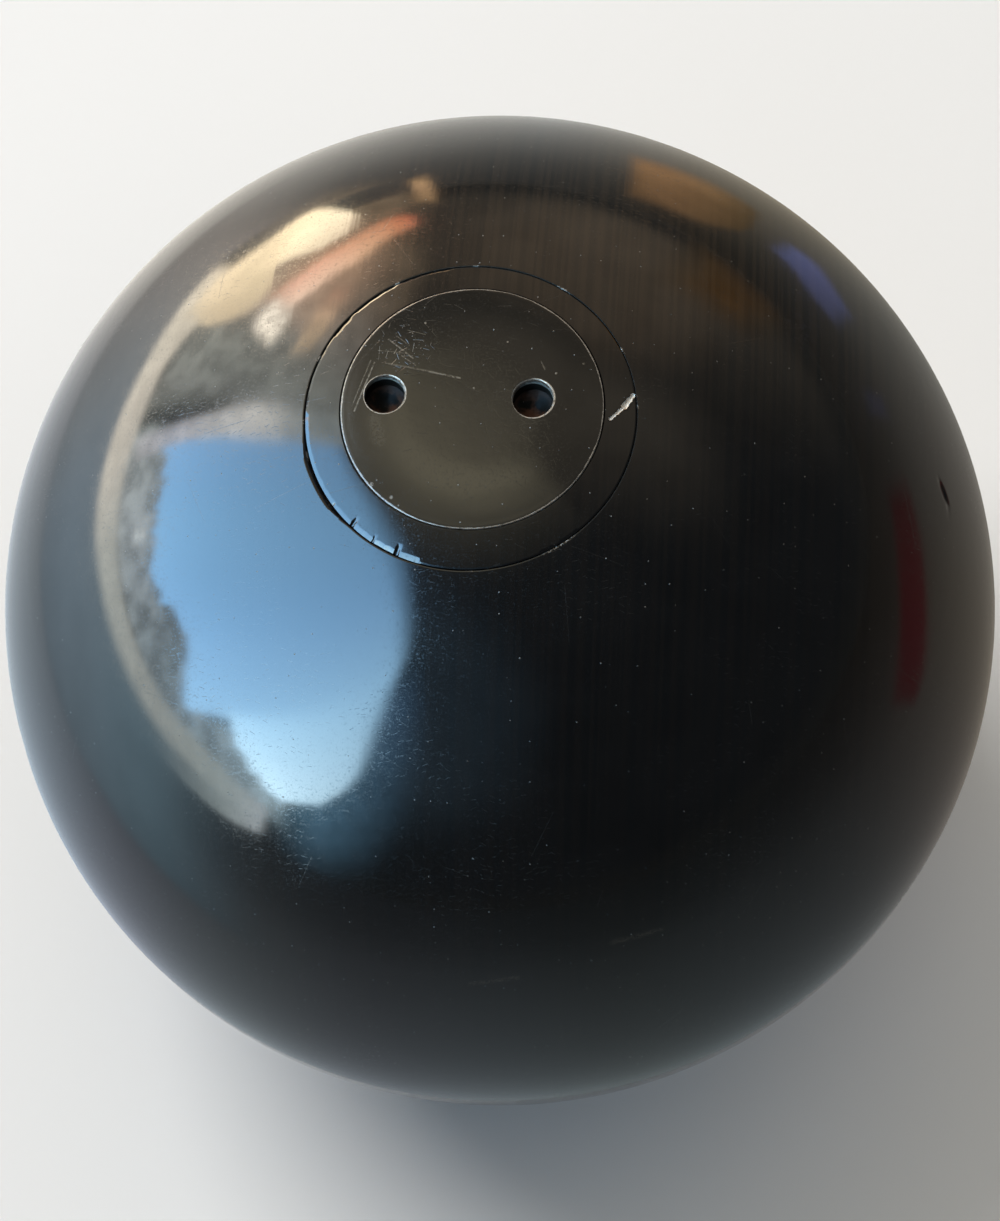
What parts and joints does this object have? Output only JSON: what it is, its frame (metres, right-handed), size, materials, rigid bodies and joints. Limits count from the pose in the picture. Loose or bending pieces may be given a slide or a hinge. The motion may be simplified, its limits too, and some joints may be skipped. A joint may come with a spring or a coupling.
{
  "type": "shot put",
  "caption": "Heavy glossy black iron ball with a lead core, loaded through a lined port that a flush two-hole screw plug closes.",
  "frame": {"origin": "centre of the ball", "axes": "+Z from the ball's centre out through the middle of the loading port; +X along the line of the plug's two spanner holes"},
  "size_m": [0.12, 0.12, 0.1189],
  "materials": {
    "ball_paint": "glossy black paint over turned iron, lightly scratched",
    "collar_paint": "glossy black paint, chipped to bare metal along its edges",
    "plug_paint": "glossy black paint, scratched, with bare worn rims round its holes",
    "fibre_seal": "matt red vulcanised fibre",
    "felt_pad": "grey-brown pressed felt",
    "sheet_lead": "dull blue-grey sheet lead",
    "cast_lead": "dull grey cast lead"
  },
  "bodies": {
    "ball": {"shell": "ball_paint", "lead_core": "cast_lead", "collar": "collar_paint", "packing_pad": "felt_pad", "trim_disc_1": "sheet_lead", "trim_disc_2": "sheet_lead", "trim_disc_3": "sheet_lead"},
    "seal": {"seal_washer": "fibre_seal"},
    "plug": {"plug": "plug_paint"}
  },
  "joints": [
    {"name": "plug_rise", "type": "slide", "parent": "ball", "child": "seal", "axis": [0, 0, 1], "range_m": [0, 0.01]},
    {"name": "plug_turn", "type": "hinge", "parent": "seal", "child": "plug", "pos_m": [0.00019, 0.00046, 0.0545], "axis": [0, 0, 1], "range_deg": [0, 1800]}
  ],
  "couplings": [
    {"joint": "plug_rise", "follows": "plug_turn", "m_per_rad": 0.00031831}
  ]
}
